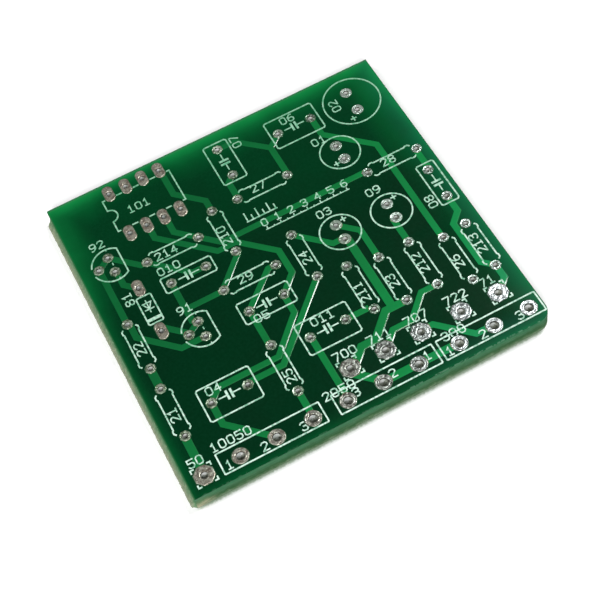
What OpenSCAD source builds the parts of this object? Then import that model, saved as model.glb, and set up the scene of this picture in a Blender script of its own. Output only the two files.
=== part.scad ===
// Bare double-sided circuit board with plated holes, lying component side up.
// Layout positions are [right, back] in millimetres from the board's front-left corner.

/* [Board] */
// Width of the board, left to right
board_w = 50; // [50:0.1:60]
// Depth of the board, front to back
board_d = 49.8; // [49.8:0.1:60]
// Finished thickness, from the mask underneath to the mask over the top tracks
board_t = 2.4; // [1.8:0.2:3.2]
// Radius of the rounded front right corner
corner_r = 1.8; // [0.5:0.1:3]
// Depth of the score line along the left edge, from each face
score_depth = 0.7; // [0.1:0.05:0.8]
// How far the snapped web stands out of the left edge
score_lip = 0.7; // [0.2:0.05:0.8]
// Distance from the back corner to where the snapped web starts
score_gap = 1.3; // [0.5:0.1:3]

/* [Layers] */
// Thickness of the copper foil
copper_t = 0.04; // [0.03:0.01:0.1]
// Thickness of the solder mask
mask_t = 0.03; // [0.02:0.01:0.05]
// Height of the tinning above the copper on the top side
tin_t = 0.08; // [0.03:0.01:0.1]
// Thickness of the printed ink
ink_t = 0.02; // [0.01:0.01:0.03]
// Thickness of the plating inside the holes
plating_t = 0.05; // [0.03:0.01:0.08]

/* [Holes] */
// Finished hole for resistors, capacitors, transistors and the integrated circuit
hole_small = 0.8; // [0.7:0.05:0.9]
// Finished hole for wires
hole_wire = 1.0; // [0.8:0.05:1.4]
// Finished hole for the potentiometers
hole_pot = 1.2; // [1:0.05:1.4]

/* [Lands] */
// Width of the small eight-sided lands
land_small = 1.4; // [1.3:0.05:1.5]
// Diameter of the electrolytic capacitor lands
land_round = 1.65; // [1.5:0.05:1.7]
// Width of the long lands
land_long_w = 1.45; // [1.3:0.05:1.5]
// Length of the long lands
land_long_l = 2.75; // [2:0.05:3]
// Diameter of the potentiometer lands
land_pot = 2.25; // [2:0.05:2.5]
// Width of the eight-sided wire lands
land_wire = 2.65; // [2.2:0.05:2.8]
// Clearance between a land and the solder mask round it
mask_gap = 0.05; // [0.03:0.01:0.08]

/* [Tracks] */
// Width of the signal tracks
track_w = 0.8; // [0.5:0.05:0.9]
// Width of the ground track
ground_w = 1.05; // [0.8:0.05:1.2]
// Clearance round the tracks and lands inside the ground plane
plane_gap = 0.5; // [0.3:0.05:0.6]

/* [Legend] */
// Width of the printed lines
ink_w = 0.2; // [0.15:0.01:0.25]
// Height of the printed numbers
digit_h = 1.15; // [0.9:0.05:1.3]

/* [Hidden] */
$fn = 48;
eps = 0.01;
relief = 0.04;
scale_at = [25.1, 30.75];
comb_at = [23.1, 33.2];
z_bot = copper_t + mask_t;            // underside of the laminate
z_top = board_t - copper_t - mask_t;  // top of the laminate
half = 3.81;                          // half of a 7.62 mm lead spacing
cap = 2.54;                           // half of a 5.08 mm lead spacing
pitch = 2.54;                         // pitch of the integrated circuit's leads
row = 7.62;                           // distance between its two rows
pot = 5;                              // pitch of the potentiometer's leads

// Footprint centres. The third number is the direction: 0 runs right, 90 runs back.
resistors = [
    [2.65, 23.25, 90], [2.6, 12.25, 90], [17.5, 10.7, 90], [27.3, 24.5, 90],
    [19.8, 33.7, 90], [31.3, 16.25, 90], [35.5, 15.25, 90], [40, 15.3, 90],
    [44.2, 13.55, 90], [47.75, 13.95, 90], [12.6, 34.6, 0], [27.45, 37.45, 0],
    [44.55, 31.95, 0], [19.6, 25.15, 0]];
// The fourth number is the width of the printed box
capacitors = [
    [9.9, 10.9, 0, 5], [19.8, 20.5, 0, 3.5], [12.8, 29.85, 0, 2.6], [24.85, 44.1, 90, 3.5],
    [35.9, 44.55, 0, 5], [47.9, 25.45, 90, 2.6], [24.85, 12.95, 0, 5]];
// Centre, half of the lead spacing, radius of the printed circle, place of the plus sign
electrolytics = [
    [44.75, 44.1, 1.75, 4.07, [-1.2, -2.9]], [39.2, 37, 1.27, 2.8, [-1.3, -1.55]],
    [40.5, 24.7, 1.27, 2.8, [1.25, 1.8]], [33.1, 25.25, 1.27, 2.8, [1.28, 1.67]]];
transistors = [[10.85, 21.35], [4.45, 36.8]];
diode = [6.15, 27.65];
ic = [12.48, 44.06];
pots = [12.4, 27.25, 43];
pot_y = 2.5;
// Left ends of the printed boxes round the potentiometer leads
pot_box = [4.7, 20.65, 35.5];
wires = [[2.45, 2.4], [24.6, 6.4], [29.65, 6.4], [34.7, 6.4], [40.5, 6.4], [45.9, 6.4]];

// Top tracks: width, then the corners of the run
signal_runs = [
    [[16.45, 47.5], [16.45, 42.95], [19.8, 39.6], [19.8, 37.5]],
    [[11.28, 40.3], [11.28, 37.65], [17.75, 31.2], [20.5, 31.2], [24.75, 26.95], [24.75, 22.95], [22.34, 20.5]],
    [[13.9, 40.3], [13.9, 37.15], [18.85, 32.2], [40.74, 32.2]],
    [[19.8, 29.9], [19.8, 29.35], [15.6, 25.15]],
    [[15.79, 25.15], [10.25, 25.15]],
    [[10.25, 29.85], [10.25, 23.1], [10.85, 22.5]],
    [[23.41, 25.15], [22.3, 25.15], [17.26, 20.5]],
    [[17.35, 20.5], [17.35, 14.5]],
    [[22.25, 20.5], [22.25, 17.3], [17.6, 12.5], [9, 12.5], [7.36, 10.9]],
    [[7.36, 10.9], [7.36, 7.5], [12.4, 2.5]],
    [[27.3, 20.69], [17.6, 11.15], [12.44, 11.15]],
    [[17.5, 6.89], [17.5, 2.5]],
    [[22.4, 12.95], [22.4, 2.5]],
    [[27.39, 12.95], [30.8, 12.95]],
    [[27.3, 28.3], [31.45, 24.15], [33.1, 24.15]],
    [[33.1, 26.52], [35.5, 24.1], [35.5, 19]],
    [[40, 23.43], [40, 19.1]],
    [[40, 11.49], [37.6, 11.49], [34.63, 8.5], [31.85, 8.5], [29.7, 6.35]],
    [[34.7, 6.6], [36.5, 6.6], [40.5, 2.6], [43, 2.6]],
    [[47.9, 22.91], [47.9, 20.05], [46.38, 18.53], [46.38, 11.5], [47.75, 10.14], [47.75, 8], [45.9, 6.2]],
    [[48.15, 31.95], [48.15, 28.1]],
    [[38.5, 44.55], [38.5, 41.1], [44.1, 35.5], [44.1, 17.36]],
    [[24.85, 46.64], [27.5, 46.64], [31.4, 42.9], [31.4, 37.45]],
    [[31.4, 42.9], [33.36, 44.55]],
    [[24.6, 41.4], [23.8, 40.6], [23.8, 37.45]],
    [[4.45, 38.07], [7.92, 34.6], [8.8, 34.6]],
    [[8.8, 34.5], [13.4, 29.9], [15.34, 29.9]],
    [[4.45, 38.07], [2.65, 36.8]],
    [[2.65, 36.8], [2.65, 27]],
    [[2.9, 27], [2.9, 24.6], [7.4, 20.1], [10.85, 20.1]],
    [[4.62, 35.53], [4.62, 32.95], [6.15, 31.42]],
    [[6.2, 24.55], [9.1, 21.65]],
    [[10.85, 22.62], [8.95, 21.35]]];
ground_runs = [
        [[33.4, 24], [33.4, 11.45], [35.5, 11.45]],
    [[35.5, 11.45], [32.4, 11.45], [29.35, 8.4], [27.3, 8.4], [24.9, 6]],
    [[24.6, 6.4], [24.6, 5.45], [27.45, 2.6]],
    [[27.25, 2.55], [38, 2.55]],
    [[2.6, 19.44], [2.6, 16.06]],
    [[2.5, 8.44], [2.5, 2.4]]];
// Underside tracks, which join the lands that have no track on top
under_runs = [
    [[8.67, 40.25], [6.6, 42.3], [6.6, 45], [8.67, 47.87]],
    [[13.75, 47.87], [13.75, 45], [11.21, 42.5], [11.21, 40.25]],
    [[44.75, 42.35], [41.4, 39], [39.2, 35.73]],
    [[8.67, 47.87], [42, 47.87], [44.75, 45.85]],
    [[31.3, 20.06], [31.3, 22.9], [40.5, 25.97]],
    [[44.2, 9.74], [40.5, 6.4]],
    [[7.4, 2.5], [12.44, 10.9]],
    [[48, 2.5], [44.5, 2.5], [40, 11.49]]];
// Lands that join the ground plane underneath
grounded = [[24.6, 6.4], [27.25, 2.5], [32.25, 2.5], [38, 2.5], [33.1, 23.98], [27.3, 28.31],
    [35.5, 11.44], [16.29, 40.25], [39.2, 38.27]];

// Numbers printed beside the parts: text, centre, direction
resistor_marks = [
    ["214", 11.6, 34.6, 0], ["22", 2.6, 22.75, 90], ["21", 2.5, 11.75, 90], ["25", 17.5, 9.25, 90],
    ["211", 31.05, 15.45, 90], ["23", 35.25, 14.9, 90], ["212", 39.65, 15.45, 90], ["26", 43.85, 13.15, 90],
    ["213", 47.5, 14.2, 90], ["24", 27.25, 24.05, 90], ["29", 19.1, 25.45, 0], ["210", 19.5, 32.95, 90],
    ["28", 44.05, 32.2, 0], ["27", 26.95, 37.85, 0]];
capacitor_marks = [
    ["010", 10.9, 32.2, 0], ["04", 8.35, 12.55, 0], ["011", 24.9, 14.7, 0], ["05", 18.35, 18.95, 0],
    ["03", 32.6, 29.15, 0], ["09", 39.9, 28.8, 0], ["08", 45.65, 23.15, 90], ["01", 37.55, 40.3, 0],
    ["06", 35.5, 46.15, 0], ["02", 42.3, 44.55, 90], ["07", 27.6, 46.5, 90]];
device_marks = [
    ["101", 11.5, 43.85, 0], ["92", 3.85, 40.65, 0], ["81", 4.25, 30.45, 90], ["91", 10.1, 25.25, 0]];
connector_marks = [
    ["1", 5.7, 2.1, 0], ["2", 10.55, 2.1, 0], ["3", 15.95, 2.1, 0],
    ["3", 23.65, 3, 0], ["2", 28.8, 3, 0], ["1", 33.65, 3, 0],
    ["1", 36.4, 2.1, 0], ["2", 41.15, 2.1, 0], ["3", 46.45, 2.1, 0],
    ["50", 2.2, 4.6, 0], ["10050", 7.3, 5.15, 0], ["2050", 21.9, 4.3, 0], ["300", 38.1, 4.2, 0],
    ["700", 24.95, 8.6, 0], ["711", 29.8, 8.6, 0], ["707", 35.1, 8.6, 0], ["722", 40.85, 8.6, 0],
    ["71", 45.5, 8.6, 0]];

// Strokes of the digits on a grid four wide and six high; a stroke that ends where it starts is a closed loop
function glyph(c) =
    c == "0" ? [[[1, 0], [3, 0], [4, 1], [4, 5], [3, 6], [1, 6], [0, 5], [0, 1], [1, 0]]] :
    c == "1" ? [[[0.8, 4.8], [2, 6], [2, 0.2]], [[0.6, 0], [3.4, 0]]] :
    c == "2" ? [[[0, 5], [1, 6], [3, 6], [4, 5], [4, 4], [0.3, 0.4]], [[0, 0], [4, 0]]] :
    c == "3" ? [[[0, 5.2], [1, 6], [3, 6], [4, 5.2], [4, 4], [3, 3.2], [4, 2.2], [4, 1], [3, 0], [1, 0], [0, 0.9]], [[1.6, 3.2], [2.9, 3.2]]] :
    c == "4" ? [[[3, 0], [3, 6]], [[2.8, 5.6], [0.3, 2.3]], [[0, 2], [4, 2]]] :
    c == "5" ? [[[4, 6], [0, 6], [0, 3.5], [3, 3.5], [4, 2.6], [4, 1], [3, 0], [1, 0], [0, 0.8]]] :
    c == "6" ? [[[1, 0], [3, 0], [4, 1], [4, 2.4], [3, 3.4], [1, 3.4], [0, 2.4], [0, 1], [1, 0]], [[3.4, 6], [2, 6], [0, 4], [0, 2.9]]] :
    c == "7" ? [[[0, 6], [4, 6], [4, 5], [1.4, 0]]] :
    c == "8" ? [[[1, 3.3], [3, 3.3], [4, 4.2], [4, 5], [3, 6], [1, 6], [0, 5], [0, 4.2], [1, 3.3]],
                [[1, 0], [3, 0], [4, 1], [4, 2.2], [3, 3.1], [1, 3.1], [0, 2.2], [0, 1], [1, 0]]] :
               [[[1, 2.6], [3, 2.6], [4, 3.6], [4, 5], [3, 6], [1, 6], [0, 5], [0, 3.6], [1, 2.6]], [[0.6, 0], [2, 0], [4, 2], [4, 2.9]]];

function unit(a, b) = (b - a) / norm(b - a);
function left(d) = [-d[1], d[0]];
// Corner points of one side of a run, mitred where it bends
function side(p, h) = [for (i = [0:len(p) - 1])
    i == 0 ? p[0] + left(unit(p[0], p[1])) * h :
    i == len(p) - 1 ? p[i] + left(unit(p[i - 1], p[i])) * h :
    let (a = left(unit(p[i - 1], p[i])), b = left(unit(p[i], p[i + 1])))
        p[i] + (a + b) * h / (1 + a * b)];
function flip(p) = [for (i = [len(p) - 1:-1:0]) p[i]];

// Each flat shape becomes a solid of height $h as it is drawn, so that they join as solids
$h = 0;
module thick() {
    if ($h > 0) linear_extrude(height = $h) children();
    else children();
}
module layer(z, h) {
    $h = h;
    translate([0, 0, z]) children();
}
module run(p, w) { thick() polygon(concat(side(p, w / 2), flip(side(p, -w / 2)))); }
// A straight printed line with square ends
module line(a, b, w = ink_w) {
    d = b - a;
    translate(a) rotate(atan2(d[1], d[0])) translate([-w / 2, -w / 2]) thick() square([norm(d) + w, w]);
}
// A printed stroke along a row of points, mitred where it bends
module path(p, w = ink_w) {
    n = len(p) - 1;
    e = w / 2;
    run([for (i = [0:n]) i == 0 ? p[0] - e * unit(p[0], p[1]) : i == n ? p[n] + e * unit(p[n - 1], p[n]) : p[i]], w);
}
// A printed closed outline of straight lines
module loop_print(p, w = ink_w) {
    n = len(p);
    function grown(h) = [for (i = [0:n - 1]) let (a = left(unit(p[(i + n - 1) % n], p[i])), b = left(unit(p[i], p[(i + 1) % n])))
        p[i] + (a + b) * h / (1 + a * b)];
    thick() difference() {
        polygon(grown(-w / 2));
        polygon(grown(w / 2));
    }
}
module at(f) { translate([f[0], f[1]]) rotate(f[2]) children(); }

// Land shapes, wider all round by g
module disc(d) { thick() circle(d = d); }
module eight(w, g = 0) { thick() rotate(22.5) circle(r = (w / 2 + g) / cos(22.5), $fn = 8); }
module long_land(g = 0) {
    s = (land_long_l - land_long_w) / 2;
    w = land_long_w / 2 + g;
    thick() {
        translate([-w, -s]) square([2 * w, 2 * s]);
        for (y = [-s, s]) translate([0, y]) circle(r = w);
    }
}
function lead_holes(f, h) = [for (s = [-1, 1]) [f[0] + s * h * cos(f[2]), f[1] + s * h * sin(f[2])]];
resistor_xy = [for (f = resistors) each lead_holes(f, half)];
capacitor_xy = [for (f = capacitors) each lead_holes(f, cap)];
electrolytic_xy = [for (f = electrolytics) each lead_holes([f[0], f[1], 90], f[2])];
function transistor_xy(t) = [t + [0, 1.27], t - [1.85, 0], t - [0, 1.27]];
ic_xy = [for (x = [-1.5:1.5], y = [-0.5, 0.5]) ic + [x * pitch, y * row]];
diode_xy = [diode + [0, half], diode - [0, half]];
function pot_xy(i) = [for (s = [-1:1]) [pots[i] + s * pot, pot_y]];
small_xy = concat(resistor_xy, capacitor_xy, transistor_xy(transistors[0]), transistor_xy(transistors[1]));
long_xy = concat(ic_xy, diode_xy);
all_pots = concat(pot_xy(0), pot_xy(1), pot_xy(2));

module each_at(list) { for (p = list) translate(p) children(); }
module lands(g = 0) {
    each_at(small_xy) eight(land_small, g);
    each_at(long_xy) long_land(g);
    each_at(electrolytic_xy) disc(land_round + 2 * g);
    each_at(all_pots) disc(land_pot + 2 * g);
    each_at(wires) eight(land_wire, g);
}
module drills() {
    each_at(concat(small_xy, long_xy, electrolytic_xy)) disc(hole_small + 2 * plating_t);
    each_at(all_pots) disc(hole_pot + 2 * plating_t);
    each_at(wires) disc(hole_wire + 2 * plating_t);
}
module outline() {
    thick() difference() {
        square([board_w, board_d]);
        difference() {
            translate([board_w - corner_r, -1]) square(corner_r + 1);
            translate([board_w - corner_r, corner_r]) circle(r = corner_r);
        }
    }
}
module tracks(g = 0) {
    for (p = signal_runs) run(p, track_w + 2 * g);
    for (p = ground_runs) run(p, ground_w + 2 * g);
}
module under_tracks(g = 0) { for (p = under_runs) run(p, track_w + 2 * g); }
// Ground plane and underside tracks, with a moat round every track and land that isn't grounded
module plane(z, h, g = 0) {
    difference() {
        layer(z, h) thick() polygon([[0.5 - g, 0.5 - g], [board_w - 2 + g / 2, 0.5 - g], [board_w - 0.5 + g, 2 - g / 2],
            [board_w - 0.5 + g, board_d - 0.5 + g], [0.5 - g, board_d - 0.5 + g]]);
        layer(z - 1, h + 2) lands(plane_gap - g);
        layer(z - 1, h + 2) under_tracks(plane_gap - g);
    }
    layer(z, h) under_tracks(g);
    layer(z, h) each_at(grounded) {
        thick() square([3.8, 0.6 + 2 * g], center = true);
        thick() square([0.6 + 2 * g, 3.8], center = true);
    }
}
// The origin is under the middle of the whole board
module place() { translate([-(board_w - score_lip) / 2, -board_d / 2, 0]) children(); }

// A tinned plated hole: ring on top, lining, ring underneath
module plated(list, hole) {
    place() difference() {
        union() {
            each_at(list) layer(z_top + copper_t, tin_t) children();
            each_at(list) layer(0, mask_t) children();
            each_at(list) layer(eps, z_top + copper_t) disc(hole + 2 * plating_t);
        }
        each_at(list) layer(-1, board_t + 2) disc(hole);
    }
}

module laminate() {
    color("#b4b48a") place() difference() {
        union() {
            layer(z_bot, z_top - z_bot) outline();
            // Sloping side of the score and the rough web that snapped off
            translate([0, board_d - score_gap, 0]) rotate([90, 0, 0])
                linear_extrude(height = board_d - score_gap)
                    polygon([[1, z_top - 0.6 * score_depth], [0, z_top], [-0.6 * score_lip, z_top - score_depth],
                        [-score_lip, z_top - score_depth - 0.06], [-score_lip, z_bot + score_depth + 0.06],
                        [-0.6 * score_lip, z_bot + score_depth], [0, z_bot], [1, z_bot + 0.6 * score_depth]]);
        }
        layer(-1, board_t + 2) drills();
    }
}
module top_copper() {
    color("#b87333") place() difference() {
        union() {
            layer(z_top, copper_t) tracks();
            layer(z_top, copper_t) lands();
        }
        layer(z_top - 1, copper_t + 2) drills();
    }
}
module underside_copper() {
    color("#b87333") place() difference() {
        union() {
            plane(mask_t, copper_t);
            layer(mask_t, copper_t) lands();
        }
        layer(-1, copper_t + 2) drills();
    }
}
module top_mask() {
    color("#0d5a2c") place() difference() {
        union() {
            layer(z_top, mask_t) outline();
            layer(z_top, copper_t + mask_t) tracks(relief);
        }
        layer(z_top - 1, copper_t + 1) tracks();
        layer(z_top - 1, board_t) lands(mask_gap);
    }
}
module underside_mask() {
    color("#0d5a2c") place() difference() {
        union() {
            layer(z_bot - mask_t, mask_t) outline();
            plane(0, z_bot, 0.04);
        }
        plane(mask_t, copper_t + 1);
        layer(-1, board_t) lands(mask_gap);
    }
}

// Printed outline of a resistor lying along its leads
module resistor_print() {
    for (m = [0, 1]) mirror([0, m])
        path([[-3.15, 0.95], [-2.95, 1.143], [-2.54, 1.143], [-2.4, 1.016],
            [2.4, 1.016], [2.54, 1.143], [2.95, 1.143], [3.15, 0.95]]);
}
module box_print(l, w, c = 0.08) {
    x = l / 2;
    y = w / 2;
    loop_print([[-x + c, -y], [x - c, -y], [x, -y + c], [x, y - c], [x - c, y], [-x + c, y], [-x, y - c], [-x, -y + c]]);
}
module capacitor_print(w) {
    box_print(7.37, w, 0.22);
    for (s = [-1, 1]) {
        translate([s * 0.3, 0]) thick() square([0.31, 1.4], center = true);
        line([s * 0.4, 0], [s * 1.45, 0], 0.18);
    }
}
module circle_print(r) {
    thick() difference() {
        circle(r = r + ink_w / 2);
        circle(r = r - ink_w / 2);
    }
}
module plus_print() {
    line([-0.33, 0], [0.33, 0]);
    line([0, -0.33], [0, 0.33]);
}
module transistor_print() {
    r = 2.69;
    arc = [for (i = [0:11]) let (a = 52.6 + i * 110.4 / 11) [r * cos(a), r * sin(a)]];
    path(concat(flip(arc), [for (p = arc) [p[0], -p[1]]]));
    for (y = [2.6, 0, -2.6]) line([0.23, y - 0.12], [0.23, y + 0.12], 0.16);
}
module diode_print() {
    box_print(2.08, 4.6, 0.15);
    translate([0, -1.6]) thick() square([2.1, 0.45], center = true);
    line([0, 1.5], [0, -0.45], 0.16);
    loop_print([[-0.6, 1.08], [0, 0.05], [0.6, 1.08]], 0.16);
    line([-0.6, 0.03], [0.6, 0.03], 0.16);
}
module ic_print() {
    for (s = [-1, 1]) {
        for (x = [-1:1]) line([x * pitch - 0.35, s * 2.88], [x * pitch + 0.35, s * 2.88]);
    }
    path([[4.75, -2.88], [5.08, -2.88], [5.08, 2.88], [4.75, 2.88]]);
    path([[-4.75, -2.88], [-5.08, -2.88], each [for (i = [0:10]) let (a = -90 + i * 18) [-5.08 + 1.05 * cos(a), 1.05 * sin(a)]],
        [-5.08, 2.88], [-4.75, 2.88]]);
}
module tick_print() {
    for (a = [0:90:270]) rotate(a) {
        path([[-0.95, -1.33], [-1.33, -1.33], [-1.33, -0.95]]);
    }
}
module number(t, h) {
    k = h / 6;
    for (i = [0:len(t) - 1]) translate([(i - (len(t) - 1) / 2) * h - 2 * k, -h / 2])
        for (s = glyph(t[i]))
            if (s[0] == s[len(s) - 1]) loop_print([for (j = [0:len(s) - 2]) s[j] * k], 0.17);
            else path([for (p = s) p * k], 0.17);
}
// Ink lies on the mask: it is cut away under itself by the mask over each track that it crosses, and by the lands
function away(c, a, b) = let (d = b - a, t = max(0, min(1, (c - a) * d / (d * d)))) norm(c - a - t * d);
function near(list, c, r) = [for (p = list) if (min([for (i = [0:len(p) - 2]) away(c, p[i], p[i + 1])]) < r + 0.6) p];
function close(list, c, r) = [for (p = list) if (norm(p - c) < r + 1.6) p];
module ink(c, r) {
    difference() {
        layer(z_top + mask_t, copper_t + ink_t) children();
        layer(z_top, mask_t + copper_t) {
            for (p = near(signal_runs, c, r)) run(p, track_w + 2 * relief);
            for (p = near(ground_runs, c, r)) run(p, ground_w + 2 * relief);
        }
        layer(z_top, 1) {
            each_at(close(small_xy, c, r)) eight(land_small, 0.1);
            each_at(close(long_xy, c, r)) long_land(0.1);
            each_at(close(electrolytic_xy, c, r)) disc(land_round + 0.2);
            each_at(close(all_pots, c, r)) disc(land_pot + 0.2);
            each_at(close(wires, c, r)) eight(land_wire, 0.1);
        }
    }
}
module numbers(list) {
    for (m = list)
        ink([m[1], m[2]], len(m[0]) * digit_h / 2 + 0.2) translate([m[1], m[2]]) rotate(m[3]) number(m[0], digit_h);
}
module resistor_marking() {
    color("#dcebe2") place() {
        for (f = resistors) ink([f[0], f[1]], 3.3) at(f) resistor_print();
        numbers(resistor_marks);
    }
}
module capacitor_marking() {
    color("#dcebe2") place() {
        for (f = capacitors) ink([f[0], f[1]], 4.4) at(f) capacitor_print(f[3]);
        for (f = electrolytics) ink([f[0], f[1]], f[3]) translate([f[0], f[1]]) {
            circle_print(f[3]);
            translate(f[4]) plus_print();
        }
        numbers(capacitor_marks);
    }
}
module device_marking() {
    color("#dcebe2") place() {
        for (t = transistors) ink(t, 2.9) translate(t) transistor_print();
        ink(diode, 2.9) translate(diode) diode_print();
        ink(ic, 6) translate(ic + [0, 0.12]) ic_print();
        numbers(device_marks);
    }
}
module connector_marking() {
    color("#dcebe2") place() {
        for (x = pot_box) ink([x + 7.12, 2.67], 7.3) translate([x + 7.12, 2.67]) box_print(14.2, 3.05);
        for (p = wires) ink(p, 2) translate(p) tick_print();
        numbers(connector_marks);
    }
}
// Plain numbered scale, and a plain comb of ticks behind it
module printed_scale() {
    color("#dcebe2") place() {
        ink(scale_at + [6, 0], 6.5) translate(scale_at) {
            translate([-0.3, 0]) thick() square([12.6, 0.16]);
            for (i = [0:12]) translate([i - 0.08, 0.05]) thick() square([0.16, i % 2 == 0 ? 0.45 : 0.25]);
        }
        for (i = [0:6]) ink(scale_at + [i * 2, 1.3], 0.8) translate(scale_at + [i * 2, 1.3]) number(str(i), 1.1);
        ink(comb_at + [2.3, 0.8], 2.8) translate(comb_at) {
            thick() square([4.6, 0.19]);
            for (i = [0:5]) translate([0.1 + i * 0.84, 0.05]) thick() square([0.19, i % 2 == 0 ? 1.6 : 0.9]);
        }
    }
}

module ic_pads() { color("#a9a49c") plated(ic_xy, hole_small) long_land(); }
module diode_pads() { color("#a9a49c") plated(diode_xy, hole_small) long_land(); }
module transistor_1_pads() { color("#a9a49c") plated(transistor_xy(transistors[0]), hole_small) eight(land_small); }
module transistor_2_pads() { color("#a9a49c") plated(transistor_xy(transistors[1]), hole_small) eight(land_small); }
module resistor_pads() { color("#b4b0aa") plated(resistor_xy, hole_small) eight(land_small); }
module film_capacitor_pads() { color("#b4b0aa") plated(capacitor_xy, hole_small) eight(land_small); }
module electrolytic_pads() { color("#b4b0aa") plated(electrolytic_xy, hole_small) disc(land_round); }
module pot_1_pads() { color("#b8b4ae") plated(pot_xy(0), hole_pot) disc(land_pot); }
module pot_2_pads() { color("#bcb8b2") plated(pot_xy(1), hole_pot) disc(land_pot); }
module pot_3_pads() { color("#d2d0cc") plated(pot_xy(2), hole_pot) disc(land_pot); }
module supply_pad() { color("#a29a92") plated([wires[0]], hole_wire) eight(land_wire); }
module ground_pad() { color("#a29a92") plated([wires[1]], hole_wire) eight(land_wire); }
module switch_pads() { color("#c4c2be") plated([wires[2], wires[4]], hole_wire) eight(land_wire); }
module output_pad() { color("#c4c2be") plated([wires[3]], hole_wire) eight(land_wire); }
module input_pad() { color("#d2d0cc") plated([wires[5]], hole_wire) eight(land_wire); }

laminate();
top_copper();
underside_copper();
top_mask();
underside_mask();
resistor_marking();
capacitor_marking();
device_marking();
connector_marking();
printed_scale();
ic_pads();
diode_pads();
transistor_1_pads();
transistor_2_pads();
resistor_pads();
film_capacitor_pads();
electrolytic_pads();
pot_1_pads();
pot_2_pads();
pot_3_pads();
supply_pad();
ground_pad();
switch_pads();
output_pad();
input_pad();
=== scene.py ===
import math
import random

import bmesh
import bpy
from mathutils import Matrix, Vector, noise
from mathutils.geometry import delaunay_2d_cdt


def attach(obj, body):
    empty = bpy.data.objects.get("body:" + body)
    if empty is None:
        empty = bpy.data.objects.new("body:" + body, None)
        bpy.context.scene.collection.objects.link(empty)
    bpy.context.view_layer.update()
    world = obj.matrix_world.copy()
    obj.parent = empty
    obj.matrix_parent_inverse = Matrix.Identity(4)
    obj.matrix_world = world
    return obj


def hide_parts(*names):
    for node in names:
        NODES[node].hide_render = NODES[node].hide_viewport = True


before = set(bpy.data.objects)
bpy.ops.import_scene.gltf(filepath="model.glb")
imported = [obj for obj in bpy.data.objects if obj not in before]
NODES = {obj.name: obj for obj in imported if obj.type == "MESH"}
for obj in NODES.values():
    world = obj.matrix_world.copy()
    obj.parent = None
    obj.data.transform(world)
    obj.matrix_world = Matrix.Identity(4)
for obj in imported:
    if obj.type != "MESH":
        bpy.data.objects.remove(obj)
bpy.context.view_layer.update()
MM = 0.001

# ---------------------------------------------------------------- layout, as in the CAD (mm)
BW, BD, BT = 50.0, 49.8, 2.4
CU, MASK, TIN, INK = 0.04, 0.03, 0.08, 0.02
ZB, ZT = CU + MASK, BT - CU - MASK
LIP, SCORE = 0.7, 0.7
OX, OY = -(BW - LIP) / 2, -BD / 2
HALF, CAP, PITCH, ROW, POT = 3.81, 2.54, 2.54, 7.62, 5.0

RESISTORS = [
    (2.65, 23.25, 90), (2.6, 12.25, 90), (17.5, 10.7, 90), (27.3, 24.5, 90),
    (19.8, 33.7, 90), (31.3, 16.25, 90), (35.5, 15.25, 90), (40, 15.3, 90),
    (44.2, 13.55, 90), (47.75, 13.95, 90), (12.6, 34.6, 0), (27.45, 37.45, 0),
    (44.55, 31.95, 0), (19.6, 25.15, 0)]
CAPACITORS = [
    (9.9, 10.9, 0, 5), (19.8, 20.5, 0, 3.5), (12.8, 29.85, 0, 2.6), (24.85, 44.1, 90, 3.5),
    (35.9, 44.55, 0, 5), (47.9, 25.45, 90, 2.6), (24.85, 12.95, 0, 5)]
ELECTROLYTICS = [
    (44.75, 44.1, 1.75, 4.07, (-1.2, -2.9)), (39.2, 37, 1.27, 2.8, (-1.3, -1.55)),
    (40.5, 24.7, 1.27, 2.8, (1.25, 1.8)), (33.1, 25.25, 1.27, 2.8, (1.28, 1.67))]
TRANSISTORS = [(10.85, 21.35), (4.45, 36.8)]
DIODE = (6.15, 27.65)
IC = (12.48, 44.06)
POTS = [12.4, 27.25, 43]
WIRES = [(2.45, 2.4), (24.6, 6.4), (29.65, 6.4), (34.7, 6.4), (40.5, 6.4), (45.9, 6.4)]
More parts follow.
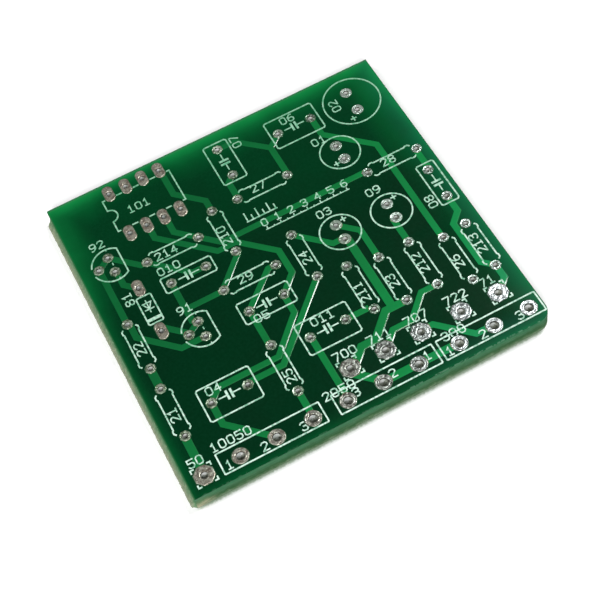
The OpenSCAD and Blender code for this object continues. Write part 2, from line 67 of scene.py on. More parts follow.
SIGNAL = [
    [[16.45, 47.5], [16.45, 42.95], [19.8, 39.6], [19.8, 37.5]],
    [[11.28, 40.3], [11.28, 37.65], [17.75, 31.2], [20.5, 31.2], [24.75, 26.95], [24.75, 22.95], [22.34, 20.5]],
    [[13.9, 40.3], [13.9, 37.15], [18.85, 32.2], [40.74, 32.2]],
    [[19.8, 29.9], [19.8, 29.35], [15.6, 25.15]],
    [[15.79, 25.15], [10.25, 25.15]],
    [[10.25, 29.85], [10.25, 23.1], [10.85, 22.5]],
    [[23.41, 25.15], [22.3, 25.15], [17.26, 20.5]],
    [[17.35, 20.5], [17.35, 14.5]],
    [[22.25, 20.5], [22.25, 17.3], [17.6, 12.5], [9, 12.5], [7.36, 10.9]],
    [[7.36, 10.9], [7.36, 7.5], [12.4, 2.5]],
    [[27.3, 20.69], [17.6, 11.15], [12.44, 11.15]],
    [[17.5, 6.89], [17.5, 2.5]],
    [[22.4, 12.95], [22.4, 2.5]],
    [[27.39, 12.95], [30.8, 12.95]],
    [[27.3, 28.3], [31.45, 24.15], [33.1, 24.15]],
    [[33.1, 26.52], [35.5, 24.1], [35.5, 19]],
    [[40, 23.43], [40, 19.1]],
    [[40, 11.49], [37.6, 11.49], [34.63, 8.5], [31.85, 8.5], [29.7, 6.35]],
    [[34.7, 6.6], [36.5, 6.6], [40.5, 2.6], [43, 2.6]],
    [[47.9, 22.91], [47.9, 20.05], [46.38, 18.53], [46.38, 11.5], [47.75, 10.14], [47.75, 8], [45.9, 6.2]],
    [[48.15, 31.95], [48.15, 28.1]],
    [[38.5, 44.55], [38.5, 41.1], [44.1, 35.5], [44.1, 17.36]],
    [[24.85, 46.64], [27.5, 46.64], [31.4, 42.9], [31.4, 37.45]],
    [[31.4, 42.9], [33.36, 44.55]],
    [[24.6, 41.4], [23.8, 40.6], [23.8, 37.45]],
    [[4.45, 38.07], [7.92, 34.6], [8.8, 34.6]],
    [[8.8, 34.5], [13.4, 29.9], [15.34, 29.9]],
    [[4.45, 38.07], [2.65, 36.8]],
    [[2.65, 36.8], [2.65, 27]],
    [[2.9, 27], [2.9, 24.6], [7.4, 20.1], [10.85, 20.1]],
    [[4.62, 35.53], [4.62, 32.95], [6.15, 31.42]],
    [[6.2, 24.55], [9.1, 21.65]],
    [[10.85, 22.62], [8.95, 21.35]]]
GROUND = [
    [[33.4, 24], [33.4, 11.45], [35.5, 11.45]],
    [[35.5, 11.45], [32.4, 11.45], [29.35, 8.4], [27.3, 8.4], [24.9, 6]],
    [[24.6, 6.4], [24.6, 5.45], [27.45, 2.6]],
    [[27.25, 2.55], [38, 2.55]],
    [[2.6, 19.44], [2.6, 16.06]],
    [[2.5, 8.44], [2.5, 2.4]]]
RUNS = [(p, 0.4) for p in SIGNAL] + [(p, 0.525) for p in GROUND]


def lead_holes(f, h):
    a = math.radians(f[2])
    return [(f[0] + s * h * math.cos(a), f[1] + s * h * math.sin(a)) for s in (-1, 1)]


RES_XY = [q for f in RESISTORS for q in lead_holes(f, HALF)]
CAP_XY = [q for f in CAPACITORS for q in lead_holes(f, CAP)]
ELE_XY = [q for f in ELECTROLYTICS for q in lead_holes((f[0], f[1], 90), f[2])]


def transistor_xy(t):
    return [(t[0], t[1] + 1.27), (t[0] - 1.85, t[1]), (t[0], t[1] - 1.27)]


IC_XY = [(IC[0] + x * PITCH, IC[1] + y * ROW) for x in (-1.5, -0.5, 0.5, 1.5) for y in (-0.5, 0.5)]
DIODE_XY = [(DIODE[0], DIODE[1] + HALF), (DIODE[0], DIODE[1] - HALF)]


def pot_xy(i):
    return [(POTS[i] + s * POT, 2.5) for s in (-1, 0, 1)]


# node name: (places, shape, width, hole diameter)
LANDS = {
    "ic_pads": (IC_XY, "long", 1.45, 0.8),
    "diode_pads": (DIODE_XY, "long", 1.45, 0.8),
    "transistor_1_pads": (transistor_xy(TRANSISTORS[0]), "eight", 1.4, 0.8),
    "transistor_2_pads": (transistor_xy(TRANSISTORS[1]), "eight", 1.4, 0.8),
    "resistor_pads": (RES_XY, "eight", 1.4, 0.8),
    "film_capacitor_pads": (CAP_XY, "eight", 1.4, 0.8),
    "electrolytic_pads": (ELE_XY, "round", 1.65, 0.8),
    "pot_1_pads": (pot_xy(0), "round", 2.25, 1.2),
    "pot_2_pads": (pot_xy(1), "round", 2.25, 1.2),
    "pot_3_pads": (pot_xy(2), "round", 2.25, 1.2),
    "supply_pad": ([WIRES[0]], "eight", 2.65, 1.0),
    "ground_pad": ([WIRES[1]], "eight", 2.65, 1.0),
    "switch_pads": ([WIRES[2], WIRES[4]], "eight", 2.65, 1.0),
    "output_pad": ([WIRES[3]], "eight", 2.65, 1.0),
    "input_pad": ([WIRES[5]], "eight", 2.65, 1.0)}
LONG_L = 2.75


def P(u, v, z):
    return ((u + OX) * MM, (v + OY) * MM, z * MM)


# ---------------------------------------------------------------- camera
FOCAL_PX = 1455.2
CAM_UV = (-2.78, -79.21, 159.77 + BT - 2.0)
forward = Vector((0.14122, 0.52157, -0.84144)).normalized()
up = Vector((0.44334, 0.72665, 0.52482))
right = forward.cross(up).normalized()
up = right.cross(forward).normalized()
cam_data = bpy.data.cameras.new("camera")
cam = bpy.data.objects.new("camera", cam_data)
bpy.context.scene.collection.objects.link(cam)
cam_data.sensor_fit = "HORIZONTAL"
cam_data.sensor_width = 36.0
cam_data.lens = 36.0 * FOCAL_PX / 600.0
cam_data.clip_start = 0.002
cam_data.clip_end = 20.0
rot = Matrix((right, up, -forward)).transposed().to_4x4()
cam.matrix_world = Matrix.Translation(Vector(P(*CAM_UV))) @ rot
bpy.context.scene.camera = cam


# ---------------------------------------------------------------- material helpers
def lin(c):
    c = c / 255.0
    return c / 12.92 if c <= 0.04045 else ((c + 0.055) / 1.055) ** 2.4


def rgb(r, g, b):
    return (lin(r), lin(g), lin(b), 1.0)


class Mat:
    def __init__(self, name):
        self.m = bpy.data.materials.new(name)
        self.m.use_nodes = True
        self.t = self.m.node_tree
        self.t.nodes.clear()
        self.out = self.t.nodes.new("ShaderNodeOutputMaterial")
        self.b = self.t.nodes.new("ShaderNodeBsdfPrincipled")
        self.t.links.new(self.b.outputs[0], self.out.inputs[0])
        self.pos = self.t.nodes.new("ShaderNodeTexCoord").outputs["Object"]

    def set(self, **kw):
        for k, v in kw.items():
            self.b.inputs[k.replace("_", " ")].default_value = v

    def link(self, a, b):
        self.t.links.new(a, b)

    def math(self, op, a, b=None, c=None, clamp=False):
        n = self.t.nodes.new("ShaderNodeMath")
        n.operation = op
        n.use_clamp = clamp
        for i, x in enumerate((a, b, c)):
            if x is None:
                continue
            if isinstance(x, (int, float)):
                n.inputs[i].default_value = x
            else:
                self.link(x, n.inputs[i])
        return n.outputs[0]

    def ramp(self, x, stops):
        n = self.t.nodes.new("ShaderNodeValToRGB")
        e = n.color_ramp.elements
        while len(e) > 1:
            e.remove(e[-1])
        e[0].position = stops[0][0]
        e[0].color = stops[0][1]
        for p, c in stops[1:]:
            k = e.new(p)
            k.color = c
        self.link(x, n.inputs[0])
        return n.outputs[0]

    def span(self, x, a, b, lo=0.0, hi=1.0, smooth=True):
        n = self.t.nodes.new("ShaderNodeMapRange")
        n.interpolation_type = "SMOOTHSTEP" if smooth else "LINEAR"
        self.link(x, n.inputs[0])
        for i, v in zip((1, 2, 3, 4), (a, b, lo, hi)):
            n.inputs[i].default_value = v
        return n.outputs[0]

    def mix(self, f, a, b, kind="MIX"):
        n = self.t.nodes.new("ShaderNodeMix")
        n.data_type = "RGBA"
        n.blend_type = kind
        n.clamp_factor = True
        for k, x in ((0, f), (6, a), (7, b)):
            if isinstance(x, (int, float)):
                n.inputs[k].default_value = x
            elif isinstance(x, tuple):
                n.inputs[k].default_value = x
            else:
                self.link(x, n.inputs[k])
        return n.outputs[2]

    def noise(self, scale, detail=3.0, rough=0.55, vec=None, stretch=None):
        v = vec or self.pos
        if stretch:
            m = self.t.nodes.new("ShaderNodeMapping")
            m.inputs["Scale"].default_value = stretch
            self.link(v, m.inputs[0])
            v = m.outputs[0]
        n = self.t.nodes.new("ShaderNodeTexNoise")
        n.inputs["Scale"].default_value = scale
        n.inputs["Detail"].default_value = detail
        n.inputs["Roughness"].default_value = rough
        self.link(v, n.inputs["Vector"])
        return n.outputs[0]

    def xyz(self):
        s = self.t.nodes.new("ShaderNodeSeparateXYZ")
        self.link(self.pos, s.inputs[0])
        return s.outputs[0], s.outputs[1], s.outputs[2]

    def bump(self, h, strength, dist, normal_in="Normal"):
        n = self.t.nodes.new("ShaderNodeBump")
        n.inputs["Strength"].default_value = strength
        n.inputs["Distance"].default_value = dist
        self.link(h, n.inputs["Height"])
        self.link(n.outputs[0], self.b.inputs[normal_in])
        return n


GAIN = 1.06  # how bright the lights make a white surface that faces up


def seen(r, g, b):
    """The plain colour that looks like this under the scene's lights."""
    return (lin(r) / GAIN, lin(g) / GAIN, lin(b) / GAIN, 1.0)


def edge_distances(m):
    """Distances in mm to the back, right, left and front edges, as node values."""
    x, y, z = m.xyz()
    back = m.math("MULTIPLY", m.math("SUBTRACT", (BD + OY) * MM, y), 1000.0)
    rgt = m.math("MULTIPLY", m.math("SUBTRACT", (BW + OX) * MM, x), 1000.0)
    lft = m.math("MULTIPLY", m.math("SUBTRACT", x, OX * MM), 1000.0)
    frt = m.math("MULTIPLY", m.math("SUBTRACT", y, OY * MM), 1000.0)
    return back, rgt, lft, frt


def smin(m, a, b, d=1.0):
    return m.math("SMOOTH_MIN", a, b, d)


def mask_material(name, on_copper):
    """Green resist, paler where copper lies under it, with painted sheen: paler towards the board's edges, and over
    copper towards the right front corner.
    """
    m = Mat(name)
    back, rgt, lft, frt = edge_distances(m)
    if on_copper:
        # painted sheen: brighter towards the right front corner
        u = m.math("DIVIDE", m.math("ADD", m.math("SUBTRACT", lft, m.math("MULTIPLY", frt, 0.8)), 40.0), 90.0)
        col = m.ramp(u, [(0.0, seen(16, 88, 48)), (0.2, seen(15, 98, 50)), (0.35, seen(16, 101, 52)), (0.45, seen(18, 112, 56)), (0.55, seen(18, 117, 58)),
                         (0.65, seen(20, 126, 63)), (0.75, seen(21, 132, 67)), (0.85, seen(24, 137, 76)), (1.0, seen(48, 150, 104))])
    else:
        # painted sheen: the paler border is wider at the back corners than along the middle of the sides
        hind = m.math("SUBTRACT", BD, back)
        r = m.math("ADD", m.span(rgt, 0.0, 6.5, 1.0, 9.5, False), m.span(hind, 36.0, 46.0, 0.0, -1.1))
        r = m.math("SUBTRACT", r, m.math("MULTIPLY", m.span(rgt, 1.0, 4.5, 0.0, 2.5), m.span(hind, 26.0, 36.0)))
        l0 = m.span(hind, 24.0, 42.0, 2.5, 1.35)
        lk = m.span(hind, 18.0, 42.0, 3.1, 0.55)
        l = m.math("MINIMUM", m.math("ADD", l0, m.math("MULTIPLY", lft, lk)), 10.0)
        l = m.math("ADD", l, m.math("MULTIPLY", m.span(lft, 1.8, 5.0, 0.0, 2.2), m.span(hind, 30.0, 40.0)))
        fr = m.span(lft, 22.0, 50.0, 3.3, 1.2)
        f = m.math("ADD", fr, m.math("MULTIPLY", frt, 2.6))
        swell = m.math("ADD", 1.0, m.math("MULTIPLY", m.math("MULTIPLY", m.span(lft, 4.5, 10.0), m.span(lft, 20.0, 15.0)), 0.45))
        d = smin(m, smin(m, m.math("MULTIPLY", back, swell), r), smin(m, l, f))
        wob = m.noise(110.0, 3.0)
        d = m.math("ADD", d, m.math("MULTIPLY", m.math("SUBTRACT", wob, 0.5), 1.1))
        t = m.math("DIVIDE", d, 12.0, clamp=True)
        col = m.ramp(t, [(0.0, seen(20, 136, 66)), (0.07, seen(11, 120, 58)), (0.15, seen(6, 96, 47)), (0.23, seen(2, 80, 38)),
                         (0.32, seen(1, 69, 33)), (0.5, seen(0, 54, 26)), (0.75, seen(0, 44, 21)), (1.0, seen(0, 39, 20))])
        # a little bluer towards the right front corner
        blue = m.math("MULTIPLY", m.span(lft, 25.0, 50.0), m.span(m.math("MINIMUM", rgt, frt), 4.0, 0.0))
        col = m.mix(m.math("MULTIPLY", blue, 0.30), col, seen(26, 92, 78))
    # a thin darker band right at the board's edges
    edge = m.math("MINIMUM", m.math("MINIMUM", back, rgt), m.math("MINIMUM", lft, frt))
    col = m.mix(m.span(edge, 0.13, 0.03, 0.0, 0.35), col, seen(10, 60, 38))
    # painted sheen: a pale band along the very edge at the left and at the back
    col = m.mix(m.span(lft, 0.22, 0.02, 0.0, 0.6), col, seen(76, 124, 84))
    col = m.mix(m.span(back, 0.5, 0.1, 0.0, 0.6), col, seen(64, 112, 84))
    # painted glints: short light dashes along the top of the front edge
    edge_glints = m.math("MULTIPLY", m.span(m.noise(1500.0, 2.0, 0.6), 0.52, 0.60), m.span(frt, 0.24, 0.10))
    col = m.mix(m.math("MULTIPLY", edge_glints, m.span(lft, 20.0, 34.0, 0.15, 0.45)), col, seen(112, 160, 130))
    cloud = m.noise(170.0, 4.0, 0.6)
    grain = m.noise(2600.0, 2.0, 0.5)
    col = m.mix(m.span(cloud, 0.35, 0.7, 0.0, 0.16), col, (0.0, 0.004, 0.001, 1.0))
    col = m.mix(m.span(grain, 0.3, 0.75, 0.0, 0.07), col, (0.010, 0.085, 0.04, 1.0))
    m.link(col, m.b.inputs["Base Color"])
    m.link(m.span(cloud, 0.3, 0.7, 0.12, 0.16), m.b.inputs["Roughness"])
    m.set(IOR=1.5)
    m.b.inputs["Specular IOR Level"].default_value = 0.5
    m.bump(m.math("ADD", m.math("MULTIPLY", grain, 0.4), m.noise(420.0, 3.0)), 0.08, 0.00002)
    return m.m


MASK_BASE = mask_material("mask_on_laminate", False)
MASK_TRACK = mask_material("mask_on_copper", True)


def tin_material(name, green, lift=0.0, brown=0.0):
    m = Mat(name)
    back, rgt, lft, frt = edge_distances(m)
    # painted reflection: the lands are lighter and whiter towards the right, and a little towards the front, where they
    # reflect the lamps
    t = m.math("ADD", lft, m.math("MULTIPLY", back, 0.28))
    t = m.span(t, 12.0, 58.0, 0.0, 1.0, False)
    mott = m.noise(2300.0, 3.0, 0.68)
    fine = m.noise(4200.0, 3.0, 0.6)
    light = m.ramp(t, [(0.0, rgb(196, 202, 186)), (0.2, rgb(206, 212, 196)), (0.4, rgb(186, 194, 182)), (0.62, rgb(172, 181, 173)), (0.8, rgb(200, 209, 206)), (1.0, rgb(224, 232, 231))])
    dark = m.ramp(t, [(0.0, rgb(84, 80, 68)), (0.2, rgb(88, 84, 72)), (0.4, rgb(72, 72, 64)), (0.62, rgb(64, 68, 64)), (0.8, rgb(96, 102, 99)), (1.0, rgb(140, 147, 148))])
    col = m.mix(m.span(mott, 0.37 - lift, 0.61 - lift), dark, light)
    if green:
        col = m.mix(green, col, rgb(92, 196, 120))
    if brown:
        col = m.mix(m.span(t, 0.25, 0.75, brown, 0.0), col, rgb(174, 160, 144))
    m.link(col, m.b.inputs["Base Color"])
    m.link(m.span(fine, 0.3, 0.7, 0.1, 0.3), m.b.inputs["Roughness"])
    m.set(Metallic=0.6)
    m.bump(m.math("ADD", m.math("MULTIPLY", mott, 1.0), m.math("MULTIPLY", fine, 0.25)), 0.65, 0.00009)
    return m.m


TIN_LARGE = tin_material("hot_levelled_tin", 0.0, 0.0, 0.32)
TIN_BROWN = tin_material("hot_levelled_tin_on_long_lands", 0.0, 0.0, 0.5)
TIN_MIDDLE = tin_material("hot_levelled_tin_on_middle_lands", 0.12, 0.12)
TIN_SMALL = tin_material("hot_levelled_tin_on_small_lands", 0.14)


def barrel_material(name, low, high):
    m = Mat(name)
    n = m.noise(1900.0, 3.0, 0.65)
    m.link(m.mix(m.span(n, 0.34, 0.6), low, high), m.b.inputs["Base Color"])
    m.link(m.span(n, 0.3, 0.7, 0.12, 0.3), m.b.inputs["Roughness"])
    m.set(Metallic=0.05)
    m.bump(n, 0.6, 0.00006)
    return m.m


# the wall of a hole: a painted dark reflection just below the mouth, grey further down, and a painted highlight on the
# side away from the front
BARRELS = [barrel_material("tinned_barrel_painted_dark_ring", rgb(40, 38, 32), rgb(92, 88, 78)),
           barrel_material("tinned_barrel_grey", rgb(124, 128, 116), rgb(206, 212, 200)),
           barrel_material("tinned_barrel_painted_highlight", rgb(214, 224, 218), rgb(255, 255, 255))]


def copper_material():
    m = Mat("copper_foil")
    n = m.noise(900.0, 4.0)
    m.link(m.mix(n, rgb(118, 104, 84), rgb(170, 158, 136)), m.b.inputs["Base Color"])
    m.link(m.span(n, 0.3, 0.7, 0.35, 0.5), m.b.inputs["Roughness"])
    m.set(Metallic=1.0)
    return m.m


COPPER_MAT = copper_material()


def ink_material():
    m = Mat("printed_ink")
    n = m.noise(2200.0, 3.0, 0.6)
    back, rgt, lft, frt = edge_distances(m)
    col = m.mix(m.span(n, 0.30, 0.62), rgb(104, 166, 136), rgb(214, 238, 225))
    # the print is thinner, and so greener, towards the back
    col = m.mix(m.math("MULTIPLY", frt, 0.014, clamp=True), col, rgb(44, 150, 96))
    m.link(col, m.b.inputs["Base Color"])
    m.set(Roughness=0.62)
    m.bump(n, 0.3, 0.00001)
    return m.m


INK_MAT = ink_material()


def laminate_material():
    """Glass-fibre laminate: layers of woven glass show as streaks along the sawn sides, with resist spilled over the top."""
    m = Mat("laminate")
    back, rgt, lft, frt = edge_distances(m)
    x, y, z = m.xyz()
    low = m.math("MULTIPLY", m.math("SUBTRACT", BT * MM, z), 1000.0 / BT)
    streak = m.noise(620.0, 4.0, 0.75, stretch=(0.4, 0.4, 5.0))
    blot = m.noise(800.0, 4.0, 0.7)
    h = m.math("ADD", low, m.math("MULTIPLY", m.math("SUBTRACT", blot, 0.5), 0.8))
    side = m.ramp(h, [(0.0, rgb(46, 102, 68)), (0.08, rgb(52, 110, 76)), (0.18, rgb(60, 111, 78)), (0.38, rgb(58, 103, 71)), (0.52, rgb(54, 94, 60)),
                      (0.66, rgb(52, 90, 56)), (0.8, rgb(76, 108, 74)), (0.92, rgb(104, 130, 100)), (1.0, rgb(116, 138, 112))])
    tan = m.ramp(h, [(0.0, rgb(78, 128, 98)), (0.2, rgb(76, 116, 84)), (0.42, rgb(92, 118, 84)), (0.7, rgb(148, 152, 122)), (1.0, rgb(184, 178, 152))])
    col = m.mix(m.span(m.math("ADD", lft, m.math("MULTIPLY", streak, 5.0)), 2.6, 5.6), tan, side)
    col = m.mix(m.span(streak, 0.42, 0.75, 0.0, 0.16), col, rgb(130, 160, 124))
    col = m.mix(m.span(blot, 0.6, 0.35, 0.0, 0.0), col, rgb(30, 52, 26))
    m.link(col, m.b.inputs["Base Color"])
    m.set(Roughness=0.85)
    m.b.inputs["Specular IOR Level"].default_value = 0.05
    m.bump(m.math("ADD", streak, blot), 0.8, 0.00012)
    return m.m


def web_material():
    """The scored slope keeps a little resist; the torn fibres beyond it are bare."""
    m = Mat("snapped_web")
    back, rgt, lft, frt = edge_distances(m)
    streak = m.noise(420.0, 4.0, 0.7, stretch=(1.0, 1.0, 4.0))
    blot = m.noise(1500.0, 4.0, 0.75)
    d = m.math("ADD", m.math("MULTIPLY", lft, -1.0), m.math("MULTIPLY", m.math("SUBTRACT", streak, 0.5), 0.5))
    col = m.ramp(m.math("DIVIDE", d, 0.7, clamp=True), [(0.0, rgb(74, 124, 82)), (0.16, rgb(100, 138, 100)), (0.4, rgb(120, 144, 112)), (0.7, rgb(136, 150, 122)), (1.0, rgb(160, 164, 140))])
    col = m.mix(m.span(blot, 0.5, 0.72, 0.0, 0.45), col, rgb(186, 182, 156))
    col = m.mix(m.span(blot, 0.46, 0.3, 0.0, 0.35), col, rgb(92, 108, 80))
    m.link(col, m.b.inputs["Base Color"])
    m.set(Roughness=0.9)
    m.b.inputs["Specular IOR Level"].default_value = 0.3
    m.bump(m.math("ADD", streak, blot), 0.9, 0.0002)
    return m.m


LAM_MAT = laminate_material()
WEB_MAT = web_material()


def under_mask_material():
    m = Mat("mask_underneath")
    x, y, z = m.xyz()
    zz = m.math("MULTIPLY", z, 1000.0)
    n = m.noise(160.0, 4.0)
    g = m.noise(2600.0, 2.0)
    over = m.mix(m.span(n, 0.35, 0.7, 0.0, 1.0), rgb(16, 96, 50), rgb(26, 118, 62))
    bare = m.mix(m.span(n, 0.35, 0.7, 0.0, 1.0), rgb(0, 46, 24), rgb(4, 60, 32))
    col = m.mix(m.span(zz, 0.012, 0.03), over, bare)
    m.link(col, m.b.inputs["Base Color"])
    m.set(Roughness=0.3, IOR=1.5)
    m.bump(g, 0.1, 0.00001)
    return m.m


UNDER_MAT = under_mask_material()


def paint(obj, mat):
    obj.data.materials.clear()
    obj.data.materials.append(mat)


def piece(name, bm, mats, nodes=(), smooth=False):
    me = bpy.data.meshes.new(name)
    bm.to_mesh(me)
    bm.free()
    for q in mats:
        me.materials.append(q)
    if smooth:
        for f in me.polygons:
            f.use_smooth = True
    o = bpy.data.objects.new(name, me)
    bpy.context.scene.collection.objects.link(o)
    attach(o, "root")
    if nodes:
        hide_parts(*nodes)
    return o


# ---------------------------------------------------------------- top mask with its relief over the tracks
LEVELS = [(0.15, 0.0), (0.11, 0.0), (0.08, 0.06), (0.05, 0.24), (0.0, 0.57), (-0.05, 0.88), (-0.08, 0.98), (-0.12, 1.0), (-0.16, 1.0)]


def sub(a, b):
    return (a[0] - b[0], a[1] - b[1])


def unit(a, b):
    d = sub(b, a)
    k = math.hypot(*d)
    return (d[0] / k, d[1] / k)


def side(p, h):
    out = []
    n = len(p)
    for i in range(n):
        if i == 0:
            t = unit(p[0], p[1])
            out.append((p[0][0] - t[1] * h, p[0][1] + t[0] * h))
        elif i == n - 1:
            t = unit(p[-2], p[-1])
            out.append((p[-1][0] - t[1] * h, p[-1][1] + t[0] * h))
        else:
            a, b = unit(p[i - 1], p[i]), unit(p[i], p[i + 1])
            a, b = (-a[1], a[0]), (-b[1], b[0])
            k = h / (1 + a[0] * b[0] + a[1] * b[1])
            out.append((p[i][0] + (a[0] + b[0]) * k, p[i][1] + (a[1] + b[1]) * k))
    return out


def seg_data():
    out = []
    for p, half in RUNS:
        dirs = [unit(p[i], p[i + 1]) for i in range(len(p) - 1)]
        for i, t in enumerate(dirs):
            A, B = p[i], p[i + 1]
            L = math.hypot(B[0] - A[0], B[1] - A[1])
            before = None if i == 0 else (dirs[i - 1][0] + t[0], dirs[i - 1][1] + t[1])
            after = None if i == len(dirs) - 1 else (t[0] + dirs[i + 1][0], t[1] + dirs[i + 1][1])
            out.append((A, B, t, L, before, after, half,
                        min(A[0], B[0]) - 1, max(A[0], B[0]) + 1, min(A[1], B[1]) - 1, max(A[1], B[1]) + 1))
    return out


SEGS = seg_data()


def edge_distance(x, y):
    """How far outside the nearest track's edge a point is; negative inside."""
    best = 9.0
    for A, B, t, L, before, after, half, x0, x1, y0, y1 in SEGS:
        if x < x0 or x > x1 or y < y0 or y > y1:
            continue
        dx, dy = x - A[0], y - A[1]
        s = dx * t[0] + dy * t[1]
        if before is None:
            if s < -1e-4:
                continue
        elif dx * before[0] + dy * before[1] < -1e-4:
            continue
        if after is None:
            if s > L + 1e-4:
                continue
        elif (x - B[0]) * after[0] + (y - B[1]) * after[1] > 1e-4:
            continue
        e = abs(dx * t[1] - dy * t[0]) - half
        if e < best:
            best = e
    return best


def lift(e):
    if e >= LEVELS[0][0]:
        return 0.0
    for (e0, h0), (e1, h1) in zip(LEVELS, LEVELS[1:]):
        if e >= e1:
            return h0 + (h1 - h0) * (e0 - e) / (e0 - e1)
    return 1.0


def arc(cx, cy, r, a0, a1, n):
    return [(cx + r * math.cos(math.radians(a0 + (a1 - a0) * i / n)), cy + r * math.sin(math.radians(a0 + (a1 - a0) * i / n))) for i in range(n + 1)]


def land_outline(c, shape, w, g=0.0):
    x, y = c
    if shape == "eight":
        r = (w / 2 + g) / math.cos(math.radians(22.5))
        return [(x + r * math.cos(math.radians(22.5 + 45 * i)), y + r * math.sin(math.radians(22.5 + 45 * i))) for i in range(8)]
    if shape == "round":
        return arc(x, y, w / 2 + g, 0, 360, 28)[:-1]
    s = (LONG_L - w) / 2
    return arc(x, y + s, w / 2 + g, 0, 180, 12) + arc(x, y - s, w / 2 + g, 180, 360, 12)


OUTLINE = [(0, 0)] + arc(BW - 1.8, 1.8, 1.8, -90, 0, 10) + [(BW, BD), (0, BD)]


def inside(poly, x, y):
    c = False
    n = len(poly)
    for i in range(n):
        x0, y0 = poly[i]
        x1, y1 = poly[i - 1]
        if (y0 > y) != (y1 > y) and x < (x1 - x0) * (y - y0) / (y1 - y0) + x0:
            c = not c
    return c


def build_mask():
    verts, edges = [], []

    def ring(pts):
        k = len(verts)
        verts.extend(Vector(q) for q in pts)
        edges.extend((k + i, k + (i + 1) % len(pts)) for i in range(len(pts)))

    ring(OUTLINE)
    openings = []
    for places, shape, w, hole in LANDS.values():
        for c in places:
            poly = land_outline(c, shape, w, 0.05)
            openings.append((c, w / 2 + (LONG_L - w) / 2 * (shape == "long") + 0.2, poly))
            ring(poly)
    for p, half in RUNS:
        for e, h in LEVELS:
            ring(side(p, half + e) + side(p, -half - e)[::-1])
    vo, eo, fo, _, _, _ = delaunay_2d_cdt(verts, edges, [], 0, 1e-5)
    bm = bmesh.new()
    made, lifts = {}, []
    for i, q in enumerate(vo):
        lifts.append(None)
    def bv(i):
        if i not in made:
            x, y = vo[i]
            e = edge_distance(x, y)
            made[i] = bm.verts.new(P(x, y, ZT + MASK + CU * lift(e)))
        return made[i]
    for f in fo:
        cx = sum(vo[i][0] for i in f) / 3
        cy = sum(vo[i][1] for i in f) / 3
        if not inside(OUTLINE, cx, cy):
            continue
        if any(abs(cx - c[0]) < r and abs(cy - c[1]) < r and inside(poly, cx, cy) for c, r, poly in openings):
            continue
        try:
            face = bm.faces.new([bv(i) for i in f])
        except ValueError:
            continue
        face.material_index = 1 if edge_distance(cx, cy) < 0.045 else 0
        face.smooth = True
    bm.normal_update()
    for f in bm.faces:
        if f.normal.z < 0:
            f.normal_flip()
    # skirts down to the laminate at the outline and round each land
    border = [e for e in bm.edges if e.is_boundary]
    got = bmesh.ops.extrude_edge_only(bm, edges=border)
    for v in (q for q in got["geom"] if isinstance(q, bmesh.types.BMVert)):
        v.co.z = ZT * MM
    for f in (q for q in got["geom"] if isinstance(q, bmesh.types.BMFace)):
        f.smooth = False
    for e in border:
        e.smooth = False
    return bm


piece("top_mask_relief", build_mask(), [MASK_BASE, MASK_TRACK], ["top_mask"])


# ---------------------------------------------------------------- tinned lands, domed, with their barrels and undersides
def land_radius(shape, w, a):
    if shape == "round":
        return w / 2
    if shape == "eight":
        k = (a + math.pi / 8) % (math.pi / 4) - math.pi / 8
        return w / 2 / math.cos(k)
    s, r = (LONG_L - w) / 2, w / 2
    c, d = abs(math.cos(a)), abs(math.sin(a))
    if c > 1e-9 and d * r / c <= s:
        return r / c
    return d * s + math.sqrt(max(0.0, r * r - (c * s) ** 2))


WALL = (0.2, 0.42, 0.64, 0.9)


def build_lands(places, shape, w, hole, seed):
    bm = bmesh.new()
    n = 32 if shape != "long" else 40
    top = [(0.0, 0.0), (0.04, 0.5), (0.11, 0.9), (0.19, 1.0), (0.32, 0.8), (0.5, 0.72), (0.66, 0.82), (0.8, 0.95), (0.9, 0.8), (0.96, 0.5), (1.0, 0.05)]
    r0 = hole / 2
    z0, z1 = ZT + CU, ZT + CU + TIN
    for k, c in enumerate(places):
        off = Vector((seed * 7.3 + k * 3.1, seed * 1.7, k * 0.77))
        rings = []

        def ring(fn):
            row = []
            for i in range(n):
                a = 2 * math.pi * i / n
                x, y, z = fn(a)
                row.append(bm.verts.new(P(c[0] + x, c[1] + y, z)))
            rings.append(row)

        def upper(s, h):
            def fn(a):
                R = land_radius(shape, w, a)
                r = R + (r0 - R) * s
                x, y = r * math.cos(a), r * math.sin(a)
                q = Vector((x * 2.4, y * 2.4, 0)) + off
                wob = noise.noise(q) * 0.18 + noise.noise(q * 2.7) * 0.08
                hh = max(0.0, min(1.0, h * (0.90 + wob)))
                return x, y, z0 + (z1 - z0) * hh
            return fn

        for s, h in top:
            ring(upper(s, h))
        deep = [ZT + CU * 0.2] + [ZT - q * hole for q in WALL] + [0.7, 0.3, 0.06]
        for z in deep:
            def wall(a, z=z):
                q = Vector((math.cos(a) * 1.3, math.sin(a) * 1.3, z * 2.0)) + off
                r = r0 + 0.014 * noise.noise(q)
                return r * math.cos(a), r * math.sin(a), z
            ring(wall)
        for s, z in ((0.93, 0.012), (0.8, 0.004), (0.5, 0.0), (0.2, 0.004), (0.0, 0.03)):
            def low(a, s=s, z=z):
                R = land_radius(shape, w, a)
                r = R + (r0 - R) * s
                return r * math.cos(a), r * math.sin(a), z
            ring(low)
        for k2, (a, b) in enumerate(zip(rings, rings[1:] + rings[:1])):
            for i in range(n):
                j = (i + 1) % n
                f = bm.faces.new((a[i], a[j], b[j], b[i]))
                f.material_index = 0
                lev = k2 - len(top)
                if -1 <= lev < len(deep) - 1:
                    # hole faces: painted dark reflection at the mouth, painted highlight on the side away from the
                    # front, grey elsewhere
                    turn = abs((math.degrees(2 * math.pi * (i + 0.5) / n) - 96 - 24 * noise.noise(off * 3.3) + 180) % 360 - 180)
                    wide = (0, 0, 44, 50, 36, 16, 0, 0, 0)[lev + 1]
                    tone = 2 if turn < wide else 1 if lev > 0 else 0
                    if shape == "long":
                        tone = 2 if turn < wide * 0.6 else 1 if lev > 0 and turn < 70 else 0
                    f.material_index = 1 + tone
                f.smooth = True
    bmesh.ops.recalc_face_normals(bm, faces=bm.faces)
    return bm


